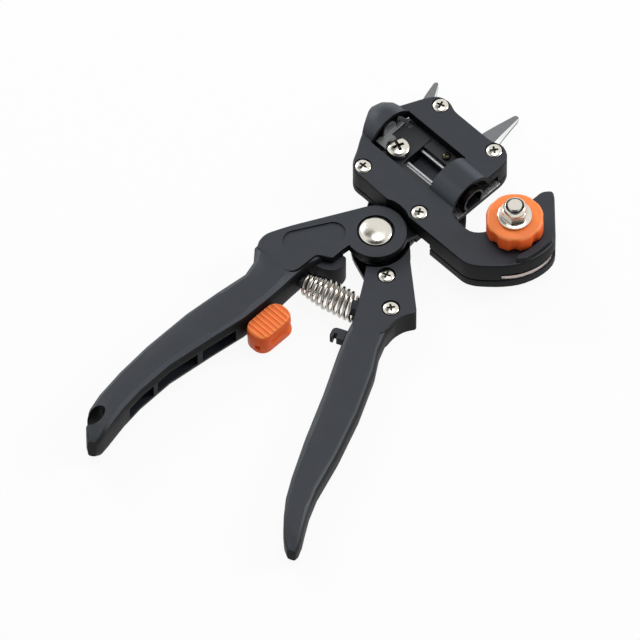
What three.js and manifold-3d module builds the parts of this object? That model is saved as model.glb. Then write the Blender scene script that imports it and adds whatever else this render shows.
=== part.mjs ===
// Grafting pruner: a grafting punch and a pair of pruning blades worked by one pair of handles.
// Millimetres. +X is the way the punch drives, +Y runs from the pivot to the blade tips and +Z
// points out of the screw side. The origin is on the pivot axis, on the flat back of the rivet.

import * as THREE from 'three';
import { mergeVertices } from 'three/addons/utils/BufferGeometryUtils.js';
import Module from 'manifold-3d';

const wasm = await Module();
wasm.setup();

// Driving dimensions
const gap = 0.3;              // clearance between touching pieces
const overrun = 1;            // how far a cut runs past the face it opens
const edge = 0.8;             // rounding of moulded edges
const shellTop = 18;          // height of the head's flat top
const discTop = 15;           // height of the left handle's pivot disc
const discRadius = 11;
const rivetRadius = 6;
const rivetShaft = 3.6;
const archRadius = 10.2;
const archWall = 1.5;
const archRound = 8;          // rounding of the housing's closed end
const archBack = 4;           // its closed end's wall
const mouth = 11.5;           // gap between end face and wheel
const wheelRadius = 10.15;
const omegaRadius = 4.6;
const omegaNeck = 3.1;        // half the width between the blade's upright walls
const pinRadius = 1.9;
const pinEase = 3;            // degrees that the pin's slots run past its swing
const tailHalf = 6.5;         // half the width of the carriage's tail
const stripWidth = 1.2;
const barb = 1.3;             // depth of the latch lug's hook
const notchDeep = 1.9;
const lockTravel = 4;
const plaqueHalf = 4.4;
const lanyardHalf = 2.6;
const slotDepth = 5;
const domeHeight = 1.7;
const bladeThickness = 2;
const plateThickness = 2;     // backbone plate
const tailHeight = 1;         // flat tail of the rivet
const baseBottom = 5.9;       // underside of the head over the pruning blades
const baseThickness = 2.5;
const hookDrop = 1.4;           // how far the arm's lower shell reaches below the head's
const slotRise = 1.8;           // height of the hook's slot over the backbone plate
const leverHeight = 10.6;
const screwHead = 2.85;       // radius of the small screw heads
const screwShaft = 1.5;
const screwHeadHeight = 1.3;
const counterbore = 1.1;      // depth of the seats of the small screws
const archDrop = 5.2;         // arch axis below the head's top
const wheelHeight = 7.4;
const wheelLobes = 8;
const boltRadius = 2.5;
const nutHeight = 4.6;
const nutCollar = 1.5;         // the nylon ring's height above the hexagon
const nutAcross = 8;
const washerRadius = 6;
const washerHeight = 1.1;
const boltProud = 2.4;
const sheet = 0.8;            // formed blade's sheet
const dieProud = 1.8;         // formed blade's cutting edge past the end face
const carriageHeight = 1.9;
const armHeight = 1.5;
const clampHead = 4.15;
const clampHeadHeight = 2.1;
const squeeze = 24;           // degrees that the right handle closes
const pinAngle = 90 + squeeze / 2;
const springWire = 1.1;
const springCurls = 10;
const springSmall = 3.4;      // coil radius at the left handle
const springLarge = 5;
const springTilt = 19;        // degrees that the last coil leans to lie on the right handle
const lockTop = 10.6;
const lockBottom = 2;
const lugBottom = 4;
const lugTop = 7.6;
const roundSteps = 20;
const scallopShare = 0.07;     // depth of the wheel's scallops
const gripSquareShare = 0.5;   // how square the grips' sections are
const fineStep = 0.4;          // least side of a sampled outline
const plaqueDepth = 0.6;

// Places in the tool's plan, as shares of the length that its outlines are drawn on
const outlineLength = 100;
const placeShares = {
  headCentreY: 0.33, faceX: 0.132, archRear: -0.37, windowRear: -0.262, windowFront: 0.018,
  rootFrom: 0.09, rootTo: 0.155, rootDepth: 0.137, wingHigh: 0.46, pinReach: 0.225,
  bridgeFront: -0.14, bridgeRear: -0.225, tailRear: -0.27, armEnd: 0.015, dieRear: -0.26,
  lugRoot: 0.062, lugTip: -0.012, lugLow: -0.42, lugHigh: -0.378,
  lockLeft: -0.059, lockRight: 0.039, lockLow: -0.592, lockHigh: -0.425,
  footLeft: -0.115, footLow: -0.545, footHigh: -0.475,
};
const {
  headCentreY, faceX, archRear, windowRear, windowFront, rootFrom, rootTo, rootDepth, wingHigh, pinReach,
  bridgeFront, bridgeRear, tailRear, armEnd, dieRear, lugRoot, lugTip, lugLow, lugHigh,
  lockLeft, lockRight, lockLow, lockHigh, footLeft, footLow, footHigh,
} = Object.fromEntries(Object.entries(placeShares).map(([name, share]) => [name, share * outlineLength]));

// Levels of the stack at the pivot, from the back
const fixedBottom = tailHeight + gap;
const fixedTop = fixedBottom + bladeThickness;
const movingBottom = fixedTop + gap;
const movingTop = movingBottom + bladeThickness;
const baseTop = baseBottom + baseThickness;
const plateBottom = baseTop + gap;
const plateTop = plateBottom + plateThickness;
const discBottom = plateTop + gap;
const wingBottom = plateTop + gap;
const wingTop = wingBottom + sheet;
const carriageBottom = wingTop + gap;
const carriageTop = carriageBottom + carriageHeight;
const armTop = carriageBottom + armHeight;
const archAxis = shellTop - archDrop;
const wheelX = faceX + mouth + wheelRadius;
const wheelBottom = shellTop + gap;
const wheelTop = wheelBottom + wheelHeight;
const hookBottom = baseBottom - hookDrop;

const wingLow = pinReach + pinRadius + 2 * gap;
const windowHalf = archRadius - 3 * gap;
const bridgeHalf = windowHalf - 2 * gap;
const yokeHalf = 2 * pinRadius;
const hubRadius = discRadius - 5 * gap;
const spacerRadius = discRadius - 8 * gap;
const notchEnd = lugTip + 2 * barb;
const radians = (degrees) => degrees * Math.PI / 180;
const black = new THREE.MeshStandardMaterial({ color: 0x3b3e44, roughness: 0.55, metalness: 0 });
const dark = new THREE.MeshStandardMaterial({ color: 0x2c2e32, roughness: 0.5, metalness: 0.1 });
const orange = new THREE.MeshStandardMaterial({ color: 0xff6a2a, roughness: 0.45, metalness: 0 });
const nickel = new THREE.MeshStandardMaterial({ color: 0xdcdcda, roughness: 0.15, metalness: 1 });
const satin = new THREE.MeshStandardMaterial({ color: 0xb4b6b8, roughness: 0.35, metalness: 1 });

// Solids: a closed geometry becomes a solid that can be joined and cut
function solid(geometry) {
  const bare = geometry.clone();
  bare.deleteAttribute('normal');
  bare.deleteAttribute('uv');
  const merged = mergeVertices(bare, 1e-4);
  const vertProperties = new Float32Array(merged.attributes.position.array);
  const triVerts = new Uint32Array(merged.index.array);
  return new wasm.Manifold(new wasm.Mesh({ numProp: 3, vertProperties, triVerts }));
}

function toMesh(name, body, material) {
  const data = body.getMesh();
  const geometry = new THREE.BufferGeometry();
  geometry.setAttribute('position', new THREE.BufferAttribute(data.vertProperties, 3));
  geometry.setIndex(new THREE.BufferAttribute(data.triVerts, 1));
  geometry.computeVertexNormals();
  const mesh = new THREE.Mesh(geometry, material);
  mesh.name = name;
  return mesh;
}

// An outline with each corner rounded by its own radius: points are [x, y, radius]
function rounded(points) {
  const shape = new THREE.Shape();
  points.forEach((point, i) => {
    const here = new THREE.Vector2(point[0], point[1]);
    const before = points[(i + points.length - 1) % points.length];
    const after = points[(i + 1) % points.length];
    const back = new THREE.Vector2(before[0], before[1]).sub(here);
    const on = new THREE.Vector2(after[0], after[1]).sub(here);
    const reach = Math.min(point[2] || 0, back.length() * 0.49, on.length() * 0.49);
    const start = here.clone().add(back.setLength(reach));
    const end = here.clone().add(on.setLength(reach));
    if (i === 0) shape.moveTo(start.x, start.y);
    else shape.lineTo(start.x, start.y);
    if (reach > 0) shape.quadraticCurveTo(here.x, here.y, end.x, end.y);
  });
  shape.closePath();
  return shape;
}

// Points of an outline without those that lie closer together than a fine step
function cleaned(shape, steps) {
  const kept = [];
  for (const point of shape.getPoints(steps)) {
    if (kept.length === 0 || point.distanceTo(kept[kept.length - 1]) > fineStep) kept.push(point);
  }
  while (kept[0].distanceTo(kept[kept.length - 1]) <= fineStep) kept.pop();
  return new THREE.Shape(kept);
}

function slab(shape, low, high, round = 0, steps = 3) {
  const geometry = new THREE.ExtrudeGeometry(cleaned(shape, steps), {
    depth: high - low - 2 * round, steps: 1, curveSegments: 1, bevelEnabled: round > 0,
    bevelThickness: round, bevelSize: round, bevelOffset: -round, bevelSegments: 2,
  });
  geometry.translate(0, 0, low + round);
  return solid(geometry);
}

// A grip: soft-cornered upright sections set one after another, with flat ends
function grip(sectionShares, low, high, sides = 14) {
  const sections = sectionShares.map(([ox, oy, ix, iy, tall]) => [
    ...[ox, oy, ix, iy].map((share) => share * outlineLength), tall]);
  const vertices = [];
  const faces = [];
  const half = (high - low) / 2;
  for (const [ox, oy, ix, iy, tall] of sections) {
    for (let i = 0; i < sides; i += 1) {
      const turn = 2 * Math.PI * (i + 0.5) / sides;
      const across = Math.sign(Math.cos(turn)) * Math.abs(Math.cos(turn)) ** gripSquareShare;
      const up = Math.sign(Math.sin(turn)) * Math.abs(Math.sin(turn)) ** gripSquareShare;
      vertices.push((ox + ix) / 2 + across * (ox - ix) / 2, (oy + iy) / 2 + across * (oy - iy) / 2,
        low + half + up * half * tall);
    }
  }
  const last = (sections.length - 1) * sides;
  for (let i = 0; i < sides; i += 1) {
    const next = (i + 1) % sides;
    for (let k = 0; k < last; k += sides) {
      faces.push(k + i, k + next, k + sides + next, k + i, k + sides + next, k + sides + i);
    }
    if (i > 0 && i < sides - 1) faces.push(0, i + 1, i, last, last + i, last + i + 1);
  }
  const triVerts = new Uint32Array(faces);
  const vertProperties = new Float32Array(vertices);
  const body = new wasm.Manifold(new wasm.Mesh({ numProp: 3, vertProperties, triVerts }));
  if (body.volume() > 0) return body;
  return new wasm.Manifold(new wasm.Mesh({ numProp: 3, vertProperties, triVerts: triVerts.reverse() }));
}

function rod(x, y, radius, low, high, sides = roundSteps) {
  const geometry = new THREE.CylinderGeometry(radius, radius, high - low, sides);
  geometry.rotateX(Math.PI / 2);
  geometry.translate(x, y, (low + high) / 2);
  return solid(geometry);
}

// A rod along X, at a place across and up
function rodX(y, z, radius, from, to, sides = roundSteps * 1.5) {
  const geometry = new THREE.CylinderGeometry(radius, radius, to - from, sides);
  geometry.rotateZ(Math.PI / 2);
  geometry.translate((from + to) / 2, y, z);
  return solid(geometry);
}

// A rod along X whose rear end is rounded
function bullet(y, z, radius, from, to, round, steps = 4) {
  const points = [new THREE.Vector2(0, from)];
  for (let i = 0; i <= steps; i += 1) {
    const turn = Math.PI / 2 * i / steps;
    const end = from + round;
    points.push(new THREE.Vector2(radius - round + round * Math.sin(turn), end - round * Math.cos(turn)));
  }
  points.push(new THREE.Vector2(radius, to), new THREE.Vector2(0, to));
  const geometry = new THREE.LatheGeometry(points, 2 * roundSteps);
  geometry.rotateZ(-Math.PI / 2);
  geometry.translate(0, y, z);
  return solid(geometry);
}

function block(x0, x1, y0, y1, z0, z1) {
  const geometry = new THREE.BoxGeometry(x1 - x0, y1 - y0, z1 - z0);
  geometry.translate((x0 + x1) / 2, (y0 + y1) / 2, (z0 + z1) / 2);
  return solid(geometry);
}

// A turned piece: profile pairs [radius, height] from the axis up and back to the axis
function turned(x, y, profile, sides = roundSteps) {
  const geometry = new THREE.LatheGeometry(profile.map(([r, z]) => new THREE.Vector2(r, z)), sides);
  geometry.rotateX(Math.PI / 2);
  geometry.translate(x, y, 0);
  return solid(geometry);
}

function dome(radius, low, height, rings) {
  const points = [];
  for (let i = 0; i <= rings; i += 1) {
    const turn = Math.PI / 2 * i / rings;
    points.push([radius * Math.cos(turn), low + height * Math.sin(turn)]);
  }
  points[rings][0] = 0;
  return points;
}

// A cross-headed screw: shaft, head with a low dome and the cross sunk in it
function screw(x, y, headRadius, headHeight, shaftRadius, seat, foot, turn) {
  const rim = seat + headHeight / 2;
  const body = turned(x, y, [[0, foot], [shaftRadius, foot], [shaftRadius, seat],
    [headRadius, seat], ...dome(headRadius, rim, headHeight / 2, 2)], 16);
  const armHalf = headRadius / 7;
  const armLong = headRadius * 0.6;
  const sunk = seat + headHeight * 0.45;
  const cross = block(-armLong, armLong, -armHalf, armHalf, sunk, seat + headHeight + overrun)
    .add(block(-armHalf, armHalf, -armLong, armLong, sunk, seat + headHeight + overrun))
    .rotate([0, 0, turn])
    .translate([x, y, 0]);
  return body.subtract(cross);
}

const part = new THREE.Group();
const add = (name, body, material) => part.add(toMesh(name, body, material));
const polar = (radius, angle) => [radius * Math.cos(radians(angle)), radius * Math.sin(radians(angle))];

// Outlines, as shares of the plan's length: [x, y, corner radius]
const place = (shares) => shares.map((point) => point.map((share) => share * outlineLength));
const around = (shares) => shares.map(([x, y, round]) => [
  wheelX + x * wheelRadius, headCentreY + y * wheelRadius, round * wheelRadius]);

const headShares = [
  [-0.08, 0.108, 0], [-0.17, 0.112, 0.02], [-0.218, 0.11, 0.03], [-0.25, 0.135, 0.03],
  [-0.272, 0.18, 0.03], [-0.301, 0.225, 0.02], [-0.325, 0.275, 0.03], [-0.326, 0.4, 0.03],
  [-0.303, 0.412, 0.02], [-0.285, 0.45, 0.03], [-0.26, 0.505, 0.03], [-0.236, 0.542, 0.04],
  [-0.19, 0.555, 0.04], [-0.15, 0.537, 0.02], [0.03, 0.537, 0.02], [0.07, 0.556, 0.03],
  [0.115, 0.535, 0.04], [0.132, 0.495, 0.03], [0.132, 0.25, 0.015], [0.145, 0.226, 0.025],
  [0.19, 0.216, 0.03]];

// Where the housing's closed end is cut in line with the head's rear edge
const rearCutShares = [[-0.262, 0.152, 0], [-0.378, 0.371, 0], [-0.45, 0.371, 0], [-0.45, 0.152, 0]];

// Lower shell's ledge that closes the housing's end from below
const rearLedgeShares = [[-0.3, 0.33, 0], [-0.345, 0.34, 0.03], [-0.345, 0.44, 0.05], [-0.25, 0.44, 0]];

// Round the anvil, from the wheel's centre, as shares of its radius: hook, backbone's end, ridge
const hookShares = [
  [-0.97, -1.123, 0.3], [-0.635, -0.768, 0.2], [-0.527, -0.296, 0.3], [-0.458, 1.379, 0.2],
  [-0.458, 1.773, 0.15], [-0.202, 2.069, 0.25], [0.015, 1.921, 0.3], [1.394, 0.591, 0.39],
  [1.414, -0.099, 0.49], [1.197, -0.837, 0.59], [0.734, -1.448, 0.59], [0.113, -2.01, 0.39],
  [-0.232, -2.187, 0.3]];

const plateHookShares = [
  [-0.872, -1.33, 0.3], [-0.33, -0.788, 0.2], [-0.281, 1.675, 0.1], [-0.133, 1.773, 0.1],
  [1.236, 0.493, 0.39], [1.256, -0.099, 0.49], [1.049, -0.788, 0.59], [0.606, -1.33, 0.59],
  [0.015, -1.852, 0.39], [-0.33, -2.02, 0.3]];

const lipShares = [
  [1.02, -0.946, 0.06], [1.236, -0.67, 0.1], [1.315, -0.05, 0.2], [1.305, 0.532, 0.1],
  [1.1, 0.749, 0.1], [1.03, 0.493, 0.1], [1.04, -0.296, 0.2], [0.93, -0.828, 0.06]];

const plateShares = [
  [0.19, 0.127, 0.01], [0.165, 0.138, 0.01], [0.1, 0.14, 0.02], [0.075, 0.05, 0],
  [-0.075, 0.05, 0], [-0.11, 0.135, 0.02], [-0.215, 0.135, 0.03], [-0.275, 0.28, 0.02],
  [-0.275, 0.39, 0.02], [-0.23, 0.525, 0.04], [0.105, 0.515, 0.04], [0.115, 0.24, 0.02],
  [0.14, 0.2, 0.03]];

const leftArmShares = [
  [-0.02, 0.06, 0], [-0.0975, 0.053, 0], [-0.232, -0.2, 0.04], [-0.268, -0.285, 0.04], [-0.25, -0.34, 0.03],
  [-0.1, -0.34, 0.02], [-0.078, -0.31, 0.02], [-0.076, -0.215, 0.012],
  [-0.026, -0.186, 0.008], [-0.026, -0.14, 0.012], [-0.02, -0.06, 0]];

const rightArmShares = [
  [0.04, -0.08, 0], [0.115, 0.055, 0.012], [0.145, 0.022, 0.012], [0.32, -0.12, 0.012],
  [0.297, -0.155, 0.02], [0.288, -0.2, 0.04], [0.3, -0.27, 0.03], [0.21, -0.33, 0.03],
  [0.168, -0.266, 0.03], [0.104, -0.167, 0.02], [0.07, -0.12, 0]];

// Grips, as sections: [outer x, outer y, inner x, inner y, share of the height]
const leftGripShares = [
  [-0.14, -0.015, -0.03, -0.13, 1], [-0.196, -0.13, -0.052, -0.2, 1],
  [-0.268, -0.25, -0.066, -0.255, 1], [-0.264, -0.33, -0.064, -0.333, 1],
  [-0.224, -0.375, -0.063, -0.39, 1], [-0.205, -0.44, -0.063, -0.455, 1],
  [-0.22, -0.558, -0.064, -0.57, 1], [-0.232, -0.698, -0.084, -0.705, 1], [-0.231, -0.89, -0.108, -0.89, 1],
  [-0.22, -1.035, -0.106, -1.035, 1], [-0.203, -1.15, -0.095, -1.125, 1], [-0.184, -1.215, -0.084, -1.18, 1],
  [-0.15, -1.262, -0.075, -1.225, 0.96], [-0.118, -1.292, -0.068, -1.262, 0.85],
  [-0.098, -1.306, -0.072, -1.288, 0.6]];

const rightGripShares = [
  [0.29, -0.19, 0.15, -0.24, 1], [0.302, -0.25, 0.18, -0.3, 1], [0.335, -0.32, 0.203, -0.36, 1],
  [0.385, -0.392, 0.238, -0.428, 1], [0.468, -0.553, 0.318, -0.575, 1], [0.54, -0.725, 0.406, -0.752, 1],
  [0.594, -0.882, 0.485, -0.896, 1], [0.63, -0.955, 0.533, -0.973, 1], [0.668, -1.015, 0.58, -1.03, 1],
  [0.695, -1.055, 0.62, -1.072, 0.95], [0.71, -1.085, 0.655, -1.102, 0.82],
  [0.714, -1.105, 0.684, -1.118, 0.55]];

const movingShares = [
  [-0.09, 0.02, 0.05], [-0.155, 0.12, 0.05], [-0.225, 0.3, 0.08], [-0.325, 0.564, 0.05],
  [-0.342, 0.634, 0.008], [-0.33, 0.642, 0.008], [-0.29, 0.585, 0.05], [-0.1, 0.35, 0.08],
  [0.02, 0.21, 0.05], [0.06, 0.105, 0.03], [0.119, 0.052, 0.006], [0.19, -0.06, 0.03], [0.272, -0.145, 0.03],
  [0.268, -0.205, 0.03], [0.115, -0.14, 0.03], [-0.04, -0.085, 0.04], [-0.09, -0.03, 0.04]];

const fixedShares = [
  [-0.085, 0.02, 0.04], [-0.1, 0.2, 0.08], [-0.105, 0.4, 0.08], [-0.084, 0.61, 0.06],
  [-0.056, 0.743, 0.006], [-0.042, 0.748, 0.006], [-0.037, 0.735, 0.01], [-0.019, 0.63, 0.06],
  [0.05, 0.4, 0.06], [0.17, 0.27, 0.04], [0.2, 0.19, 0.03], [0.17, 0.138, 0.02],
  [0.11, 0.19, 0.02], [0.06, 0.155, 0.03], [0.072, 0.04, 0.04], [0.05, -0.07, 0.04],
  [-0.06, -0.075, 0.04]];

const screwShares = [[-0.199, 0.518], [0.066, 0.514], [-0.209, 0.147], [0.066, 0.147]];
const screwPlaces = place(screwShares);
const screwTurns = [20, 55, 90, 125];
const clampTurn = 12;
const handleScrewShares = [[0.136, -0.084], [0.243, -0.17]];
const standoffShares = [0.15, 0.165];
const standoff = standoffShares.map((share) => share * outlineLength);
const handleScrews = place(handleScrewShares);
const clampShares = [-0.187, 0.297];
const clamp = clampShares.map((share) => share * outlineLength);
const clipShare = -0.052;
const clip = [clipShare * outlineLength, headCentreY + windowHalf - screwShaft - 3 * gap];

const headOutline = () => rounded([...place(headShares), ...around(hookShares)]);
const plateOutline = () => rounded([...place(plateShares), ...around(plateHookShares)]);
const pivotHole = (low, high) => rod(0, 0, rivetShaft + gap, low - overrun, high + overrun);
const pinRest = polar(pinReach, pinAngle);
const pinSlot = (low, high) => {
  const half = pinRadius + 2 * gap;
  const slot = new THREE.Shape();
  const [first, last] = [pinAngle + pinEase, pinAngle - squeeze - pinEase].map(radians);
  slot.absarc(0, 0, pinReach + half, first, last, true);
  slot.absarc(0, 0, pinReach - half, last, first, false);
  return slab(slot, low - overrun, high + overrun, 0, 6)
    .add(rod(...polar(pinReach, pinAngle), half, low - overrun, high + overrun))
    .add(rod(...polar(pinReach, pinAngle - squeeze), half, low - overrun, high + overrun));
};
const boltHole = (low, high) => rod(wheelX, headCentreY, boltRadius + gap, low - overrun, high + overrun);

// Room under the arm's root, where the lower shell stops short
const rootRoom = () => block(rootFrom, rootTo, 0, rootDepth, 0, plateTop + 2 * gap);

// Upper shell of head and hook: plate, arched blade housing, window, blade channel and plate seat
{
  const outline = headOutline();
  const channelHalf = archRadius - archWall;
  const seatTop = plateTop + gap;
  const arch = bullet(headCentreY, archAxis, archRadius, archRear, faceX, archRound)
    .subtract(block(archRear - overrun, faceX + overrun, 0, 2 * headCentreY, 0, baseTop + gap))
    .subtract(slab(rounded(place(rearCutShares)), 0, shellTop + archRadius));
  const plateSeat = slab(plateOutline(), plateBottom - gap - overrun, seatTop, 0)
    .add(block(archRear + 4 * archWall, faceX + overrun, wingLow - archWall / 2,
      wingHigh + archWall / 2, plateBottom, armTop + gap));
  const bore = bullet(headCentreY, archAxis, channelHalf, archRear + archBack, faceX + overrun, archRound)
    .subtract(block(archRear, faceX + 2 * overrun, 0, 2 * headCentreY, 0, plateBottom));
  const yokeRoom = block(pinRest[0] - 3 * pinRadius, -pinRest[0] + 3 * pinRadius,
    pinReach - 2.4 * pinRadius, wingLow, plateBottom, armTop + gap);
  const window = block(windowRear, windowFront, headCentreY - windowHalf, headCentreY + windowHalf,
    wingBottom, shellTop + archRadius);
  let cover = slab(outline, baseTop + gap, shellTop, edge)
    .add(arch)
    .subtract(rod(0, 0, discRadius + 4 * gap, 0, shellTop + archRadius, 2 * roundSteps))
    .subtract(plateSeat)
    .subtract(bore)
    .subtract(yokeRoom)
    .subtract(window)
    .subtract(rootRoom())
    .subtract(boltHole(0, shellTop));
  for (const [x, y] of screwPlaces) {
    cover = cover.subtract(rod(x, y, screwHead + gap, shellTop - counterbore, shellTop + overrun));
    cover = cover.subtract(rod(x, y, screwShaft + gap, 0, shellTop));
  }
  const slotLow = plateBottom;
  const slotHigh = plateTop + slotRise;
  const slotCut = slab(headOutline(), slotLow, slotHigh, 0)
    .intersect(block(wheelX + boltRadius, outlineLength, headCentreY - wheelRadius * 1.4,
      headCentreY + wheelRadius * 0.7, slotLow, slotHigh))
    .subtract(rod(wheelX, headCentreY, wheelRadius, slotLow, slotHigh, 2 * roundSteps));
  const lip = slab(rounded(around(lipShares)), shellTop - edge * 2, shellTop + 3 * edge, edge / 3);
  cover = cover.subtract(slotCut).add(lip);
  add('head_cover', cover, black);
}

// Lower shell: thin over the pruning blades, deeper under the arm and hook
{
  const outline = headOutline();
  let base = slab(outline, baseBottom, baseTop, 0);
  const drop = slab(outline, hookBottom, baseTop, edge)
    .intersect(block(rootTo, outlineLength, 0, outlineLength, 0, shellTop));
  base = base.add(drop)
    .add(slab(rounded(place(rearLedgeShares)), baseBottom, baseTop, 0))
    .subtract(rod(0, 0, discRadius + 4 * gap, 0, shellTop, 2 * roundSteps))
    .subtract(pinSlot(baseBottom, baseTop))
    .subtract(rod(standoff[0], standoff[1], screwShaft + gap, 0, shellTop))
    .subtract(rod(standoff[0], standoff[1], 2 * screwShaft + gap, 0, baseBottom))
    .subtract(rootRoom())
    .subtract(boltHole(hookBottom, baseTop));
  for (const [x, y] of screwPlaces) {
    base = base.subtract(rod(x, y, screwShaft + gap, baseBottom + gap * 2, shellTop));
  }
  add('head_base', base, black);
}

// Backbone plate: pressed steel from the pivot to the hook
{
  let plate = slab(plateOutline(), plateBottom, plateTop)
    .add(rod(0, 0, hubRadius, plateBottom, plateTop, 2 * roundSteps))
    .subtract(block(bridgeFront, windowFront + archWall, headCentreY - omegaNeck - sheet,
      headCentreY + omegaNeck + sheet, 0, shellTop))
    .subtract(pivotHole(plateBottom, plateTop))
    .subtract(pinSlot(plateBottom, plateTop))
    .subtract(rod(standoff[0], standoff[1], screwShaft + gap, 0, shellTop))
    .subtract(boltHole(plateBottom, plateTop));
  for (const [x, y] of screwPlaces) {
    plate = plate.subtract(rod(x, y, screwShaft + gap, 0, shellTop));
  }
  add('backbone_plate', plate, satin);
}

screwPlaces.forEach(([x, y], i) => {
  add(`cover_screw_${i + 1}`, screw(x, y, screwHead, screwHeadHeight, screwShaft,
    shellTop - counterbore + gap, baseBottom + 3 * gap, screwTurns[i]), nickel);
});

// Spring seats, latch lug in the closed place, and lock slider
const tangShares = [[-0.05, -0.12], [0, 0.13], [0.13, 0.08], [0.2, -0.035], [0.278, -0.135],
  [0.276, -0.222], [0.1, -0.165]];
const springLeftShares = [-0.052, -0.29];
const springRightShares = [0.141, -0.245];
const springFrom = new THREE.Vector3(...springLeftShares.map((s) => s * outlineLength), discTop / 2);
const springTo = new THREE.Vector3(...springRightShares.map((s) => s * outlineLength), discTop / 2);
const springLine = springTo.clone().sub(springFrom).normalize();
const springTurn = Math.atan2(springLine.y, springLine.x) * 180 / Math.PI;
const peg = (at, radius, from, to) => rodX(0, 0, radius, from, to, roundSteps / 2)
  .rotate([0, 0, springTurn]).translate([at.x, at.y, at.z]);
const lockRidges = 8;
const leftPeg = () => peg(springFrom, springSmall - springWire, -3 * springWire, springWire);
const footRoom = () => block(footLeft - gap, lockLeft + overrun, footLow - 2 * gap,
  footHigh + lockTravel + 2 * gap, lugBottom, lugTop + gap);

// Left handle: pivot disc over the stack, shoulder, grip with side slots and lanyard hole
const plaqueShares = [[-0.1, -0.109], [-0.168, -0.226]];
// Slots down the inner side: [upper end, lower end, inner edge at each]
const slotShares = [
  [-0.61, -0.755, -0.068, -0.09], [-0.775, -0.955, -0.094, -0.108], [-0.975, -1.1, -0.108, -0.099]];
const stopShares = [[-0.07, -0.235, 0.01], [-0.06, -0.15, 0.01], [-0.01, -0.13, 0.015],
  [0.004, -0.16, 0.015], [0.002, -0.2, 0.02], [-0.03, -0.222, 0.01]];
const lanyardShares = [-0.143, -1.222];
const lanyardLongShare = 1.7;
const lanyardTurn = 8;
{
  const clear = discRadius + 4 * gap;
  let handle = grip(leftGripShares, 0, discTop)
    .subtract(rod(0, 0, clear + gap, -overrun, discBottom, 2 * roundSteps));
  handle = handle.add(slab(rounded(place(stopShares)), 0, discBottom + gap)
    .subtract(rod(0, 0, clear + gap, -overrun, discBottom - gap, 2 * roundSteps)));
  const arm = slab(rounded(place(leftArmShares)), discBottom, discTop, edge);
  handle = handle.add(arm)
    .add(slab(new THREE.Shape().absarc(0, 0, discRadius, 0, 2 * Math.PI), discBottom, discTop, edge, 24))
    .subtract(rod(0, 0, rivetRadius + 2 * gap, discTop - domeHeight, discTop + overrun, 2 * roundSteps))
    .subtract(pivotHole(0, discTop));
  const [p, q] = place(plaqueShares);
  const along = new THREE.Vector2(q[0] - p[0], q[1] - p[1]);
  const tilt = Math.atan2(along.y, along.x);
  const plaque = new THREE.Shape();
  plaque.absarc(p[0], p[1], plaqueHalf, tilt + Math.PI / 2, tilt + 3 * Math.PI / 2, false);
  plaque.absarc(q[0], q[1], plaqueHalf, tilt - Math.PI / 2, tilt + Math.PI / 2, false);
  handle = handle.subtract(slab(plaque, discTop - plaqueDepth, discTop + overrun, 0, 10));
  const [lx, ly] = lanyardShares.map((share) => share * outlineLength);
  const hole = rod(0, 0, lanyardHalf, -overrun, discTop + overrun)
    .scale([1, lanyardLongShare, 1])
    .rotate([0, 0, lanyardTurn]);
  handle = handle.subtract(hole.translate([lx, ly, 0]));
  // A channel runs down the inner side, with ribs across it that leave three slots
  for (const [high, low, highEdge, lowEdge] of place(slotShares)) {
    const cut = rounded([[highEdge + slotDepth, high, gap], [highEdge - slotDepth, high, gap],
      [lowEdge - slotDepth, low, gap], [lowEdge + slotDepth, low, gap]]);
    handle = handle.subtract(slab(cut, lugBottom, discTop - lugBottom - overrun));
  }
  handle = handle.add(leftPeg()).subtract(footRoom());
  add('left_handle', handle, black);
}

// Pivot: a domed rivet through the whole stack, its spun tail flat on the back
{
  const rivet = turned(0, 0, [[0, 0], [rivetRadius, 0], [rivetRadius, tailHeight], [rivetShaft, tailHeight],
    [rivetShaft, discTop - domeHeight + gap * 2], [rivetRadius, discTop - domeHeight + gap * 2],
    ...dome(rivetRadius, discTop - gap, domeHeight, 5)], 2 * roundSteps);
  add('pivot_rivet', rivet, nickel);
  const spacer = rod(0, 0, spacerRadius, movingTop + gap, plateBottom - gap, 2 * roundSteps);
  add('pivot_spacer', spacer.subtract(pivotHole(0, plateBottom)), satin);
}

// Pruning blades under the head
const pinHole = rod(pinRest[0], pinRest[1], pinRadius + gap, 0, plateBottom);
{
  let moving = slab(rounded(place(movingShares)), movingBottom, movingTop)
    .subtract(pivotHole(movingBottom, movingTop))
    .subtract(pinHole);
  for (const [x, y] of handleScrews) moving = moving.subtract(rod(x, y, screwShaft + gap, 0, leverHeight));
  add('moving_blade', moving, satin);
  const fixed = slab(rounded(place(fixedShares)), fixedBottom, fixedTop)
    .subtract(pivotHole(fixedBottom, fixedTop))
    .subtract(rod(standoff[0], standoff[1], screwShaft + gap, 0, plateBottom));
  add('fixed_blade', fixed, satin);
  const ring = rod(standoff[0], standoff[1], 2 * screwShaft, fixedTop + gap, baseBottom - gap)
    .subtract(rod(standoff[0], standoff[1], screwShaft + gap, 0, plateBottom));
  add('blade_standoff', ring, satin);
  const under = turned(standoff[0], standoff[1], [[0, gap], [screwHead, gap],
    [screwHead, fixedBottom - gap], [screwShaft, fixedBottom - gap], [screwShaft, plateTop - gap],
    [0, plateTop - gap]]);
  add('blade_screw', under, nickel);
  const pinLow = movingBottom + gap / 2;
  const pin = turned(pinRest[0], pinRest[1], [[0, pinLow], [pinRadius, pinLow],
    [pinRadius, armTop - gap], [0, armTop - gap]]);
  add('drive_pin', pin, satin);
}

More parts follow.
